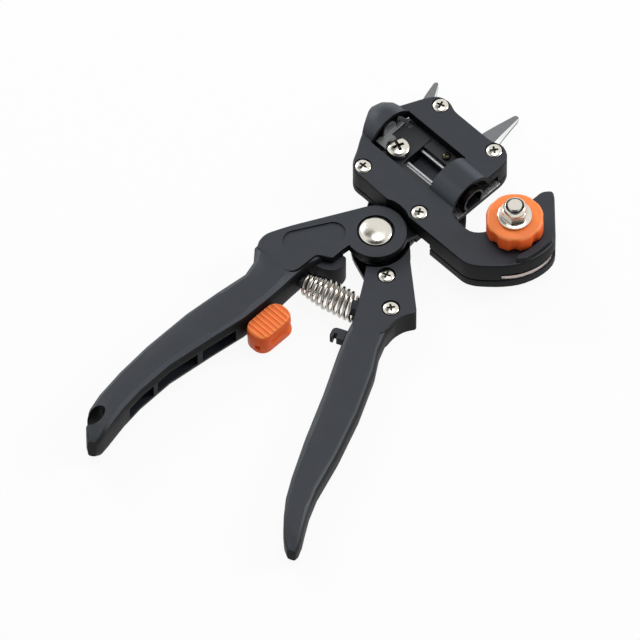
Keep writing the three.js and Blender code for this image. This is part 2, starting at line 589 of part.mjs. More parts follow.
// Anvil: bolt up through the hook, wheel, washer and lock nut
{
  const washerBottom = wheelTop + gap;
  const nutBottom = washerBottom + washerHeight + gap;
  const nutTop = nutBottom + nutHeight;
  const boltTop = nutTop + boltProud;
  const headTop = hookBottom - gap;
  const bolt = rod(wheelX, headCentreY, boltRadius, headTop - gap, boltTop - gap, roundSteps)
    .add(rod(wheelX, headCentreY, 2 * boltRadius, gap, headTop, 6))
    .add(turned(wheelX, headCentreY, [[0, boltTop - 2 * gap], [boltRadius, boltTop - 2 * gap],
      [boltRadius - gap, boltTop], [0, boltTop]]));
  add('anvil_bolt', bolt, nickel);
  const washer = turned(wheelX, headCentreY, [[boltRadius + gap, washerBottom],
    [washerRadius, washerBottom], [washerRadius, washerBottom + washerHeight],
    [boltRadius + gap, washerBottom + washerHeight], [boltRadius + gap, washerBottom]], 2 * roundSteps);
  add('anvil_washer', washer, nickel);
  const hex = rod(wheelX, headCentreY, nutAcross / Math.sqrt(3), nutBottom, nutTop - nutCollar, 6);
  const collar = rod(wheelX, headCentreY, nutAcross * 0.45, nutBottom, nutTop);
  add('anvil_nut', hex.add(collar).subtract(boltHole(nutBottom, nutTop)), nickel);
  const rim = new THREE.Shape();
  const points = [];
  for (let i = 0; i < wheelLobes * 6; i += 1) {
    const turn = 2 * Math.PI * i / (wheelLobes * 6);
    const dip = Math.max(0, Math.cos(wheelLobes * turn)) ** 2;
    const radius = wheelRadius * (1 - scallopShare * dip);
    points.push(new THREE.Vector2(wheelX + radius * Math.cos(turn), headCentreY + radius * Math.sin(turn)));
  }
  rim.setFromPoints(points);
  const wheel = slab(rim, wheelBottom, wheelTop, edge * 0.75).subtract(boltHole(wheelBottom, wheelTop));
  add('anvil_wheel', wheel, orange);
}

// Right handle: plate with the finger guard and blade tang pocket, grip, latch lug and spring peg
{
  const clear = discRadius + 4 * gap;
  let lever = slab(rounded(place(rightArmShares)), 0, leverHeight)
    .add(grip(rightGripShares, 0, leverHeight + gap))
    .subtract(rod(0, 0, clear, -overrun, shellTop, 2 * roundSteps))
    .subtract(slab(rounded(place(tangShares)), movingBottom - gap, movingTop + gap));
  for (const [x, y] of handleScrews) {
    lever = lever.subtract(rod(x, y, screwHead + 1.5 * gap, leverHeight - counterbore, shellTop))
      .subtract(rod(x, y, screwShaft + gap, 2 * gap, shellTop));
  }
  const lug = slab(rounded([[lugTip, lugLow, barb / 2], [lugRoot, lugLow], [lugRoot, lugHigh],
    [lugTip, lugHigh, 2 * barb]]), lugBottom, lugTop, 0, 6)
    .subtract(block(lugTip + barb, notchEnd, lugLow - overrun, lugLow + notchDeep, 0, shellTop));
  lever = lever.add(lug.rotate([0, 0, squeeze]))
    .add(peg(springTo, springLarge - 2 * springWire, -springWire, 4 * springWire));
  add('right_handle', lever, black);
}
handleScrews.forEach(([x, y], i) => {
  add(`handle_screw_${i + 1}`, screw(x, y, screwHead, screwHeadHeight, screwShaft,
    leverHeight - counterbore + gap, 4 * gap, screwTurns[i]), nickel);
});

// Return spring: one wire wound from the small end to the large one
{
  const turns = springCurls * 8;
  const coneShare = 0.45;
  const reach = springTo.distanceTo(springFrom);
  const side = new THREE.Vector3(-springLine.y, springLine.x, 0);
  const up = new THREE.Vector3(0, 0, 1);
  const route = [];
  for (let i = 0; i <= turns; i += 1) {
    const share = i / turns;
    const radius = springSmall + (springLarge - springSmall) * Math.min(1, share / coneShare);
    const turn = 2 * Math.PI * i / 8;
    const lean = side.clone().applyAxisAngle(up, radians(springTilt * share));
    route.push(springFrom.clone().addScaledVector(springLine, share * reach)
      .addScaledVector(lean, radius * Math.cos(turn)).addScaledVector(up, radius * Math.sin(turn)));
  }
  let least = Infinity;
  for (let i = 0; i < route.length; i += 1) {
    for (let j = i + 5; j < route.length; j += 1) {
      least = Math.min(least, route[i].distanceTo(route[j]) - springWire);
    }
  }
  console.log(`return spring: least gap to itself ${least.toFixed(2)} mm`);
  route.unshift(route[0].clone().addScaledVector(up, -springWire));
  route.push(route[route.length - 1].clone().addScaledVector(up, springWire));
  const section = new THREE.Shape();
  const corners = [0, 72, 144, 216, 288].map((angle) => new THREE.Vector2(...polar(springWire / 2, angle)));
  section.setFromPoints(corners);
  const wire = new THREE.CatmullRomCurve3(route, false, 'centripetal');
  const swept = new THREE.ExtrudeGeometry(section, {
    steps: route.length - 1, extrudePath: wire, bevelEnabled: false });
  add('return_spring', solid(swept), nickel);
}

// Punch carriage with its yoke, the omega blade, clamp plate and screws
{
  const low = carriageBottom;
  const highArmIn = headCentreY + omegaNeck + sheet + 2 * gap;
  const lowArmIn = headCentreY - omegaNeck - 2 * sheet - 2 * gap;
  const yokeX = pinRest[0];
  const carriage = block(bridgeRear, bridgeFront, headCentreY - bridgeHalf, headCentreY + bridgeHalf,
    low, carriageTop)
    .add(block(tailRear, bridgeRear + overrun, headCentreY - tailHalf, headCentreY + tailHalf,
      low, carriageTop))
    .add(block(bridgeRear, armEnd, wingLow, lowArmIn, low, armTop))
    .add(block(bridgeRear, armEnd, highArmIn, wingHigh - 2 * sheet, low, armTop))
    .add(block(yokeX - yokeHalf, yokeX + yokeHalf, pinReach - 2 * pinRadius, wingLow + overrun,
      low, armTop))
    .subtract(block(yokeX - pinRadius - gap, yokeX + pinRadius + gap, pinReach - 3 * pinRadius,
      pinReach + pinRadius + 2 * gap, low - overrun, armTop + overrun))
    .subtract(rod(clamp[0], clamp[1], clampHead / 2 + gap, 0, shellTop))
    .subtract(rod(clip[0], clip[1], screwShaft * 0.6 + gap, 0, shellTop));
  add('die_carriage', carriage, dark);

  const loopZ = carriageBottom + omegaNeck;
  const openTop = wingTop + 2 * gap;
  const front = faceX + dieProud;
  const loop = rodX(headCentreY, loopZ, omegaRadius, bridgeFront + gap, front)
    .subtract(rodX(headCentreY, loopZ, omegaRadius - sheet, bridgeFront, front + overrun));
  const neckOuter = omegaNeck + sheet;
  const neckTop = loopZ - omegaRadius * 0.5;
  const neck = block(bridgeFront + gap, front, headCentreY - neckOuter, headCentreY + neckOuter,
    wingBottom, neckTop);
  const hollow = (top) => block(bridgeFront - overrun, front + overrun, headCentreY - omegaNeck,
    headCentreY + omegaNeck, 0, top);
  const wings = block(dieRear, front, wingLow, headCentreY - omegaNeck, wingBottom, wingTop)
    .add(block(dieRear, front, headCentreY + omegaNeck, wingHigh, wingBottom, wingTop));
  const die = loop.subtract(hollow(loopZ)).add(neck.subtract(hollow(loopZ))).add(wings)
    .subtract(block(dieRear, armEnd, 0, 2 * headCentreY, openTop, shellTop + archRadius))
    .subtract(rod(clip[0], clip[1], screwShaft * 0.6 + gap, 0, shellTop));
  add('omega_blade', die, satin);

  const seat = carriageTop + gap;
  const clampTop = seat + sheet;
  const tabHalf = clampHead * 0.72;
  const tabTop = clampTop + tabHalf / 2;
  const tab = block(dieRear - sheet, dieRear, headCentreY - tabHalf, headCentreY + tabHalf, seat, tabTop)
    .add(rodX(headCentreY, tabTop, tabHalf, dieRear - sheet, dieRear, roundSteps)
      .subtract(block(dieRear - 2 * sheet, dieRear + overrun, 0, 2 * headCentreY, 0, seat)));
  const plate = block(dieRear - sheet, dieRear + stripWidth, clamp[1] - tabHalf,
    headCentreY + 2 * tabHalf, seat, clampTop)
    .add(block(dieRear, clamp[0], clamp[1] - tabHalf, clamp[1] + tabHalf, seat, clampTop))
    .add(rod(clamp[0], clamp[1], tabHalf, seat, clampTop))
    .add(tab)
    .subtract(rod(clamp[0], clamp[1], clampHead / 2 + gap, 0, shellTop));
  add('clamp_plate', plate, satin);
  add('clamp_screw', screw(clamp[0], clamp[1], clampHead, clampHeadHeight, clampHead / 2,
    clampTop + gap, wingTop, clampTurn), nickel);
  add('blade_clip_screw', screw(clip[0], clip[1], screwShaft, screwHeadHeight, screwShaft * 0.6,
    armTop + gap, wingBottom + gap, clampTurn), nickel);
}

// Lock slider on the left handle's inner side: ridged top, lug pocket and foot
{
  const corner = (lockRight - lockLeft) * 0.45;
  const top = slab(rounded([[lockLeft, lockLow, corner], [lockRight, lockLow, corner],
    [lockRight, lockHigh, corner], [lockLeft, lockHigh, corner]]), lockBottom, lockTop, edge * 0.75);
  const pocketLow = lugLow - lockTravel - 1.5 * gap;
  const toothTop = lugLow - lockTravel + notchDeep - gap;
  let slider = top
    .subtract(block(lugTip - 2 * gap, lockRight + overrun, pocketLow, lugHigh + 2 * gap,
      lugBottom - gap, lugTop + gap))
    .add(block(lugTip + barb + gap, notchEnd - gap, pocketLow - overrun, toothTop,
      lugBottom - gap, lugTop + gap))
    .add(block(footLeft, lockLeft + overrun, footLow, footHigh, lugBottom + gap, lugTop));
  const step = (lockHigh - lockLow - 2 * edge) / lockRidges;
  for (let i = 0; i < lockRidges; i += 1) {
    const at = lockLow + edge + step * (i + 0.5);
    slider = slider.subtract(block(lockLeft + 1.5 * edge, lockRight - 1.5 * edge,
      at - step * 0.2, at + step * 0.2, lockTop - gap, lockTop + overrun));
  }
  add('lock_slider', slider, orange);
}

export default part;
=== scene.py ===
import math

import bmesh
import bpy
from mathutils import Matrix, Vector


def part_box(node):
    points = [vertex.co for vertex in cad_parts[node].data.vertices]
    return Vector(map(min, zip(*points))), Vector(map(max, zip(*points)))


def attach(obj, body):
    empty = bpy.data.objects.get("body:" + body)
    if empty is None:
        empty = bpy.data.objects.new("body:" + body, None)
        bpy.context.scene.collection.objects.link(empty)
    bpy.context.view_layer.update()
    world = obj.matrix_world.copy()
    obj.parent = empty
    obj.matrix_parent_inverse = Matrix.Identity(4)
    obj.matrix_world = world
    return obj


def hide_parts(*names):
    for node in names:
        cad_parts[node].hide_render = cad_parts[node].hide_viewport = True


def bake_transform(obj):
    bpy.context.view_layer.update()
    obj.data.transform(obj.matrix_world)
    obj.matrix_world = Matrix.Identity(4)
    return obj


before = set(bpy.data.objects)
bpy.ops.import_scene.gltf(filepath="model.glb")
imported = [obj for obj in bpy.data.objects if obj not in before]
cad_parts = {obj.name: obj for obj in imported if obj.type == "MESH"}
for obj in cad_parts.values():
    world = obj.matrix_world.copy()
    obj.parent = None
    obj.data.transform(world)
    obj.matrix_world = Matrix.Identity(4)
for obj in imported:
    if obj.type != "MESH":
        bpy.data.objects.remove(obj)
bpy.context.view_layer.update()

# Camera: the tool lies on its flat back and is seen from 56 degrees above, over its lower right.
# The middle of the view lies below the pivot, between the two handles.
MM = 0.001
VIEW_TURN = math.radians(45)
VIEW_RISE = math.radians(56)
VIEW_WIDTH = 220.7 * MM
VIEW_MIDDLE = Vector((12.8, -40.1, 15.3)) * MM
LENS = 1200                  # mm, so long that the view has next to no perspective
SENSOR = 36

camera_data = bpy.data.cameras.new("camera")
camera_data.lens = LENS
camera_data.sensor_width = SENSOR
camera_data.clip_start = 0.05
camera_data.clip_end = 30
camera = bpy.data.objects.new("camera", camera_data)
bpy.context.scene.collection.objects.link(camera)
away = Vector((math.sin(VIEW_TURN) * math.cos(VIEW_RISE),
               -math.cos(VIEW_TURN) * math.cos(VIEW_RISE),
               math.sin(VIEW_RISE)))
camera.location = VIEW_MIDDLE + away * (VIEW_WIDTH * LENS / SENSOR)
camera.rotation_euler = away.to_track_quat("Z", "Y").to_euler()
bpy.context.scene.camera = camera


# Head: two shells of glass filled nylon, injection moulded, that close on the steel backbone. The
# upper one carries the arched housing of the punch and its window. Their flats have a fine spark
# eroded grain, and their walls are smoother, as they were drawn out of the mould, and painted darker as
# shade.
GRAIN_SIZE = 0.35             # mm between grains, a little coarser than the real one so that it shows
CLOUD_SIZE = 9                # mm across the patches where the black is a little paler
EDGE_HIGHLIGHT = 0.6               # share of the painted pale highlight on a rounded edge
SHELL_EDGE = 0.3              # mm, the round that the mould leaves on an edge
WELD = 0.002                  # mm, within which two places of a mesh are one
FLAT = math.radians(0.7)      # a bend so small that the faces beside it are one flat


def linear(code):
    """An sRGB hex colour as the linear values that a shader takes."""
    parts = [int(code[i:i + 2], 16) / 255 for i in (1, 3, 5)]
    return tuple(c / 12.92 if c <= 0.04045 else ((c + 0.055) / 1.055) ** 2.4 for c in parts) + (1.0,)


def add_node(material, kind, settings=None, inputs=None):
    """Adds one node, sets its own values, then its inputs: a link where an input is a socket."""
    node = material.node_tree.nodes.new(kind)
    for key, value in (settings or {}).items():
        setattr(node, key, value)
    for key, value in (inputs or {}).items():
        if isinstance(value, bpy.types.NodeSocket):
            material.node_tree.links.new(value, node.inputs[key])
        else:
            node.inputs[key].default_value = value
    return node


def new_material(name):
    """A material with no nodes yet."""
    material = bpy.data.materials.new(name)
    material.use_nodes = True
    material.node_tree.nodes.clear()
    return material


def finish_material(material, shader):
    """Sends a shader to the material's surface."""
    add_node(material, "ShaderNodeOutputMaterial", inputs={"Surface": shader.outputs["BSDF"]})
    return material


# The drawn colour is painted shade on the walls, and the edges colour is a painted highlight on the rounded
# edges.
def moulded_nylon(name, dark, light, drawn, edges, rough):
    """Spark eroded grain, whose tiny pits scatter the light, on the faces that lie across the mould,
    and smoother walls where the piece was drawn along it, painted a deeper colour with less sheen
    as shade. Its rounded edges carry a painted pale highlight."""
    m = new_material(name)
    place = add_node(m, "ShaderNodeTexCoord").outputs["Object"]
    grain = add_node(m, "ShaderNodeTexNoise", inputs={"Vector": place, "Scale": 1 / (GRAIN_SIZE * MM),
                                                      "Detail": 3.0, "Roughness": 0.6})
    cloud = add_node(m, "ShaderNodeTexNoise", inputs={"Vector": place, "Scale": 1 / (CLOUD_SIZE * MM),
                                                      "Detail": 4.0})
    tone = add_node(m, "ShaderNodeMix", {"data_type": "RGBA"},
                    {"Factor": cloud.outputs["Fac"], "A": linear(dark), "B": linear(light)})
    facing = add_node(m, "ShaderNodeSeparateXYZ",
                      inputs={"Vector": add_node(m, "ShaderNodeNewGeometry").outputs["Normal"]})
    across = add_node(m, "ShaderNodeMapRange", inputs={"Value": facing.outputs["Z"], "From Min": 0.2,
                                                       "From Max": 0.75})
    # Walls take the drawn colour by their facing alone: painted shade.
    skin = add_node(m, "ShaderNodeMix", {"data_type": "RGBA"},
                    {"Factor": across.outputs["Result"], "A": linear(drawn), "B": tone.outputs["Result"]})
    # Faces between the flats and the walls, the rounded edges, turn toward the edges colour: a painted
    # highlight.
    rising = add_node(m, "ShaderNodeMapRange", inputs={"Value": facing.outputs["Z"], "From Min": 0.5,
                                                       "From Max": 0.75, "To Max": EDGE_HIGHLIGHT})
    level = add_node(m, "ShaderNodeMapRange", inputs={"Value": facing.outputs["Z"], "From Min": 0.98,
                                                      "From Max": 0.9})
    edge_highlight_share = add_node(m, "ShaderNodeMath", {"operation": "MULTIPLY"},
                          {0: rising.outputs["Result"], 1: level.outputs["Result"]})
    highlighted_edges = add_node(m, "ShaderNodeMix", {"data_type": "RGBA"},
                    {"Factor": edge_highlight_share.outputs["Value"], "A": skin.outputs["Result"], "B": linear(edges)})
    # Less sheen on the walls deepens the painted shade.
    shine = add_node(m, "ShaderNodeMapRange", inputs={"Value": across.outputs["Result"], "To Min": 0.1,
                                                      "To Max": 0.36})
    speck = add_node(m, "ShaderNodeMapRange", inputs={"Value": grain.outputs["Fac"], "From Min": 0.3,
                                                      "From Max": 0.75, "To Min": rough + 0.1,
                                                      "To Max": rough - 0.08})
    bump = add_node(m, "ShaderNodeBump", inputs={"Height": grain.outputs["Fac"], "Strength": 0.35,
                                                 "Distance": 0.08 * MM})
    shader = add_node(m, "ShaderNodeBsdfPrincipled", inputs={
        "Base Color": highlighted_edges.outputs["Result"], "Roughness": speck.outputs["Result"],
        "IOR": 1.53, "Specular IOR Level": shine.outputs["Result"], "Normal": bump.outputs["Normal"]})
    return finish_material(m, shader)


# A blue black, dull on the flats and painted darker down the walls as shade, with painted grey highlights on
# its rounded edges
black_nylon = moulded_nylon("black_glass_filled_nylon_grained",
                            "#1c2027", "#262b34", "#0d0e10", "#4a4f56", 0.5)


def piece_from(work, name, material, body):
    """A new piece: its bmesh becomes an object at the origin that rides a body, where one is named."""
    mesh = bpy.data.meshes.new(name)
    work.to_mesh(mesh)
    work.free()
    mesh.materials.append(material)
    piece = bpy.data.objects.new(name, mesh)
    bpy.context.scene.collection.objects.link(piece)
    if body:
        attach(piece, body)
    return piece


def smooth_by_angle(piece, degrees):
    """Smooth shading with the sharp edges kept, marked on the mesh itself."""
    data = piece.data
    work = bmesh.new()
    work.from_mesh(data)
    for face in work.faces:
        face.smooth = True
    for edge in work.edges:
        sharp = len(edge.link_faces) != 2 or edge.calc_face_angle(0) > math.radians(degrees)
        edge.smooth = not sharp
    work.to_mesh(data)
    work.free()


def apply_modifiers(piece):
    """Writes the modifiers' result into the piece's own mesh."""
    bpy.context.view_layer.update()
    graph = bpy.context.evaluated_depsgraph_get()
    done = bpy.data.meshes.new_from_object(piece.evaluated_get(graph))
    piece.modifiers.clear()
    piece.data = done


def merged_copy(node):
    """A copy of a CAD node's mesh with its triangles joined into flats."""
    work = bmesh.new()
    work.from_mesh(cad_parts[node].data)
    bmesh.ops.remove_doubles(work, verts=work.verts, dist=WELD * MM)
    bmesh.ops.dissolve_limit(work, angle_limit=FLAT, verts=work.verts, edges=work.edges)
    return work


def dressed(node, material, round_mm, body, sharp=32):
    """A CAD node with its edges broken. An edge counts where it bends by more than sharp degrees."""
    piece = piece_from(merged_copy(node), f"{node}_finished", material, body)
    bevel = piece.modifiers.new("edges", "BEVEL")
    bevel.width = round_mm * MM
    bevel.segments = 3
    bevel.limit_method = "ANGLE"
    bevel.angle_limit = math.radians(sharp)
    apply_modifiers(piece)
    smooth_by_angle(piece, sharp)
    flats = piece.modifiers.new("flats", "WEIGHTED_NORMAL")
    flats.keep_sharp = True
    apply_modifiers(piece)
    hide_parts(node)
    return piece


dressed("head_cover", black_nylon, SHELL_EDGE, "frame")
dressed("head_base", black_nylon, SHELL_EDGE, "frame")


# Handles: the same grained nylon, moulded. The left one carries the pivot disc, a bare recessed
# plaque, three slots down its inner side and the cord hole. The right one carries the finger guard,
# the latch lug and the seats of two screws.
dressed("left_handle", black_nylon, SHELL_EDGE, "frame")
dressed("right_handle", black_nylon, SHELL_EDGE, "lever")


# Cross headed screws: cold formed pan heads with a tapered cross recess, nickel plated, six of them
# M3 and one larger for the clamp. The small one that holds the punch's blade is yellow zinc plated.
M3_HEAD, M3_HEIGHT, M3_SHAFT = 2.85, 1.3, 1.5
CLAMP_HEAD, CLAMP_HEIGHT, CLAMP_SHAFT = 4.15, 2.1, 2.07
CLIP_HEAD, CLIP_HEIGHT, CLIP_SHAFT = 1.5, 1.3, 0.9


def metal(name, colour, rough, grit, stretch=1.0, turn=0.0):
    """A metal whose sheen varies over grit mm, drawn out into lines where stretch is under one."""
    m = new_material(name)
    place = add_node(m, "ShaderNodeTexCoord").outputs["Object"]
    along = add_node(m, "ShaderNodeMapping", inputs={"Vector": place, "Rotation": (0, 0, turn),
                                                     "Scale": (stretch, 1, 1)})
    lines = add_node(m, "ShaderNodeTexNoise", inputs={"Vector": along.outputs["Vector"],
                                                      "Scale": 1 / (grit * MM), "Detail": 3.0})
    sheen = add_node(m, "ShaderNodeMapRange", inputs={"Value": lines.outputs["Fac"], "From Min": 0.3,
                                                      "From Max": 0.7, "To Min": rough * 0.7,
                                                      "To Max": rough * 1.4})
    bump = add_node(m, "ShaderNodeBump", inputs={"Height": lines.outputs["Fac"], "Strength": 0.12,
                                                 "Distance": 0.03 * MM})
    shader = add_node(m, "ShaderNodeBsdfPrincipled", inputs={
        "Base Color": linear(colour), "Metallic": 1.0, "Roughness": sheen.outputs["Result"],
        "Normal": bump.outputs["Normal"]})
    return finish_material(m, shader)


# Plating leaves a bright, slightly warm mirror; down in a recess it is painted dull and dark as shade
nickel = metal("nickel_plated_steel_bright", "#dcd8ce", 0.16, 1.2)
recess_painted_shade = metal("nickel_plated_steel_painted_recess_shade", "#5d5850", 0.4, 0.5)
# Yellow zinc plating, painted a dim brass tone as the housing's shade
brass_in_painted_shade = metal("yellow_zinc_plated_steel_painted_shade", "#4f4c40", 0.34, 0.6)


def lathe(profile, centre, steps=48, work=None):
    """A turned piece about an upright axis, from (radius, height) pairs in mm, new or added to work."""
    work = work or bmesh.new()
    spots = [work.verts.new((centre[0] + r * MM, centre[1], z * MM)) for r, z in profile]
    line = [work.edges.new(pair) for pair in zip(spots, spots[1:])]
    bmesh.ops.spin(work, geom=spots + line, cent=(centre[0], centre[1], 0),
                   axis=(0, 0, 1), angle=2 * math.pi, steps=steps, use_merge=True)
    bmesh.ops.remove_doubles(work, verts=work.verts, dist=WELD * MM)
    bmesh.ops.recalc_face_normals(work, faces=work.faces)
    return work


def skin(outlines, around=False):
    """Outlines of as many places each, in metres, joined place by place and capped at both ends, or
    closed on themselves round a hole. Bridging wouldn't keep the places together."""
    work = bmesh.new()
    loops = [[work.verts.new(place) for place in outline] for outline in outlines]
    following = loops[1:] + loops[:1] if around else loops[1:]
    for one, two in zip(loops, following):
        for i in range(len(one)):
            k = (i + 1) % len(one)
            work.faces.new((one[i], one[k], two[k], two[i]))
    if not around:
        caps = [work.faces.new(loops[0]), work.faces.new(loops[-1])]
        bmesh.ops.triangulate(work, faces=caps)
    bmesh.ops.recalc_face_normals(work, faces=work.faces)
    return work


def cut_with(piece, cutter, material):
    """Takes the cutter's closed skin out of the piece; the new walls get the given material."""
    mesh = bpy.data.meshes.new("cutter")
    cutter.to_mesh(mesh)
    cutter.free()
    mesh.materials.append(material)
    tool = bpy.data.objects.new("cutter", mesh)
    bpy.context.scene.collection.objects.link(tool)
    carve = piece.modifiers.new("recess", "BOOLEAN")
    carve.operation = "DIFFERENCE"
    carve.solver = "EXACT"
    carve.material_mode = "TRANSFER"
    carve.object = tool
    apply_modifiers(piece)
    bpy.data.objects.remove(tool)


def middle_of(node):
    """A node's middle in plan, in metres, with its foot and top in mm."""
    low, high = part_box(node)
    return (low[0] + high[0]) / 2, (low[1] + high[1]) / 2, low[2] / MM, high[2] / MM


def dome_profile(radius, rim, top, rings=9):
    """The upper half of a low dome, from its rim in to the axis."""
    turns = [math.pi / 2 * i / rings for i in range(rings)]
    return [(radius * math.cos(turn), rim + (top - rim) * math.sin(turn)) for turn in turns] + [(0, top)]


def cross_screw(node, head, height, shaft, turn, body, material=nickel):
    """A pan head over a plain shaft. The recess's arms widen upwards and are turned by turn degrees."""
    x, y, foot, top = middle_of(node)
    seat = top - height
    profile = [(0, foot), (shaft * 0.8, foot), (shaft, foot + shaft * 0.3), (shaft, seat),
               (head * 0.95, seat), (head, seat + height * 0.12)]
    screw = piece_from(lathe(profile + dome_profile(head, seat + height * 0.42, top), (x, y)),
                       f"{node}_cross_head", material, body)
    rings = []
    for z, reach, half in ((top - height * 0.75, head * 0.2, head * 0.075),
                           (top - height * 0.25, head * 0.52, head * 0.13),
                           (top + height, head * 0.62, head * 0.17)):
        ring = []
        for quarter in range(4):
            spin = Matrix.Rotation(math.radians(turn + 90 * quarter), 3, "Z")
            for point in ((reach, -half, 0), (reach, half, 0), (half, half, 0)):
                ring.append(spin @ Vector(point) * MM + Vector((x, y, z * MM)))
        rings.append(ring)
    # The recess's walls take the dark copy of the plating: painted shade.
    cut_with(screw, skin(rings), recess_painted_shade)
    smooth_by_angle(screw, 30)
    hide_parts(node)


for node, turn, body in (("cover_screw_1", 20, "frame"), ("cover_screw_2", 55, "frame"),
                         ("cover_screw_3", 5, "frame"), ("cover_screw_4", 35, "frame"),
                         ("handle_screw_1", 20, "lever"), ("handle_screw_2", 55, "lever")):
    cross_screw(node, M3_HEAD, M3_HEIGHT, M3_SHAFT, turn, body)
cross_screw("clamp_screw", CLAMP_HEAD, CLAMP_HEIGHT, CLAMP_SHAFT, 70, "carriage")
cross_screw("blade_clip_screw", CLIP_HEAD, CLIP_HEIGHT, CLIP_SHAFT, 12, "carriage", brass_in_painted_shade)


# Pivot rivet: one nickel plated pin through the whole stack, its head a polished low dome and its
# tail spun flat on the back. The drive pin is turned, and the spacer and stand-off are cut from rod.
RIVET_HEAD, RIVET_SHAFT = 6, 3.6
DRIVE_PIN_RADIUS = 1.9

# Zinc plating over a rolled surface, an even dull grey
pressed = metal("pressed_zinc_plated_steel", "#8e9092", 0.42, 0.6)


def turned_piece(node, profile, name, material, body):
    """Puts a turned piece over a CAD node; profile gives its pairs from the node's foot and top."""
    x, y, foot, top = middle_of(node)
    piece = piece_from(lathe(profile(foot, top), (x, y), 64), name, material, body)
    smooth_by_angle(piece, 30)
    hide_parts(node)


def rivet_profile(foot, top):
    """A flat spun tail, the plain shaft, and the head's rim under its dome."""
    tail = [(0, foot), (RIVET_HEAD - 0.4, foot), (RIVET_HEAD, foot + 0.35), (RIVET_HEAD, foot + 0.75),
            (RIVET_HEAD - 0.2, foot + 1), (RIVET_SHAFT, foot + 1)]
    head = [(RIVET_SHAFT, top - 2.5), (RIVET_HEAD - 0.2, top - 2.5), (RIVET_HEAD, top - 2.3)]
    return tail + head + dome_profile(RIVET_HEAD, top - 1.7, top, 14)


def pin_profile(foot, top):
    """A plain pin with both of its ends chamfered."""
    return [(0, foot), (DRIVE_PIN_RADIUS - 0.3, foot), (DRIVE_PIN_RADIUS, foot + 0.3),
            (DRIVE_PIN_RADIUS, top - 0.3), (DRIVE_PIN_RADIUS - 0.3, top), (0, top)]


turned_piece("pivot_rivet", rivet_profile, "pivot_rivet_dome", nickel, "frame")
turned_piece("drive_pin", pin_profile, "drive_pin_turned", pressed, "lever")
dressed("blade_screw", nickel, 0.12, "frame", 28)
dressed("pivot_spacer", pressed, 0.15, "frame")
dressed("blade_standoff", pressed, 0.1, "frame")


# Return spring: nickel plated spring wire, ten curls that widen from the left handle to the right
# one, where the last curl leans to lie flat against the wall.
SPRING_FROM = Vector((-5.2, -29.0, 7.5)) * MM
SPRING_TO = Vector((14.1, -24.5, 7.5)) * MM
SPRING_CURLS = 10
CURL_STEPS = 28
SPRING_LEAN = math.radians(19)
SPRING_NARROW, SPRING_WIDE, SPRING_WIRE = 3.4, 5.0, 0.52      # mm, radii

# Plated wire, drawn smooth, a mirror a little greyer than the screws
wire = metal("nickel_plated_spring_wire", "#b3aea5", 0.13, 0.8)


def tube_along(route, radius, sides=10):
    """A round wire along a row of places, closed at both ends."""
    rings = []
    across = Vector((0, 0, 1))
    for i, here in enumerate(route):
        along = (route[min(i + 1, len(route) - 1)] - route[max(i - 1, 0)]).normalized()
        across = (across - along * across.dot(along)).normalized()
        third = along.cross(across)
        rings.append([here + (across * math.cos(2 * math.pi * k / sides)
                              + third * math.sin(2 * math.pi * k / sides)) * radius for k in range(sides)])
    return skin(rings)


spring_line = (SPRING_TO - SPRING_FROM).normalized()
spring_side = Vector((-spring_line.y, spring_line.x, 0))
spring_route = []
for i in range(SPRING_CURLS * CURL_STEPS + 1):
    share = i / (SPRING_CURLS * CURL_STEPS)
    settled = share - 0.018 * math.sin(2 * math.pi * share) * (1 if share < 0.5 else 0.6)
    radius = (SPRING_NARROW + (SPRING_WIDE - SPRING_NARROW) * min(1, share / 0.45) ** 0.8) * MM
    curl = 2 * math.pi * i / CURL_STEPS
    lean = Matrix.Rotation(SPRING_LEAN * share, 3, "Z") @ spring_side
    spring_route.append(SPRING_FROM.lerp(SPRING_TO, settled) + lean * radius * math.cos(curl)
                        + Vector((0, 0, radius * math.sin(curl))))
spring = piece_from(tube_along(spring_route, SPRING_WIRE * MM), "return_spring_wound", wire,
                    None)
smooth_by_angle(spring, 60)
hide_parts("return_spring")
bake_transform(spring)


# Blades: the two pruning blades are stamped and ground, with a bright bevel honed on one side. The
# punch's blade is formed to an omega, its loop painted dark as shade and its edges left bright.
SHADE_PAINTED_TO = 20                # mm toward the head, as far as the blades are painted dark as the shade round the pivot
LAND_LEFT = 0.75             # mm of the edge's wall left upright under the bevel
BEVEL_START = 42             # mm toward the head, where the bevel begins
BEVEL_WIDTH = 1.5            # mm
BEVEL_RUN_IN, BEVEL_RUN_OUT = 3, 14     # mm over which it reaches its width, and narrows to the tip

# Grinding leaves fine lines along a blade: satin on its flats, bright on the honed bevel. A brown
# black is painted where the steel lies in shade, and forming leaves a plain bright skin. Each grit is
# drawn coarser than the real one, so that it shows.
BLADE_TURN = math.radians(-75)
ground = metal("ground_carbon_steel_satin", "#77797b", 0.34, 0.3, 0.06, BLADE_TURN)
honed = metal("honed_carbon_steel_bright", "#eceeee", 0.2, 0.2, 0.05, BLADE_TURN)
shade_painted_steel = metal("carbon_steel_painted_shade", "#262220", 0.42, 0.6)
formed = metal("formed_spring_steel_bright", "#b2b4b6", 0.3, 0.4)


def cut_across(work, place, direction):
    """Runs a seam through every face that a plane meets."""
    everything = work.verts[:] + work.edges[:] + work.faces[:]
    bmesh.ops.bisect_plane(work, geom=everything, plane_co=place, plane_no=direction)


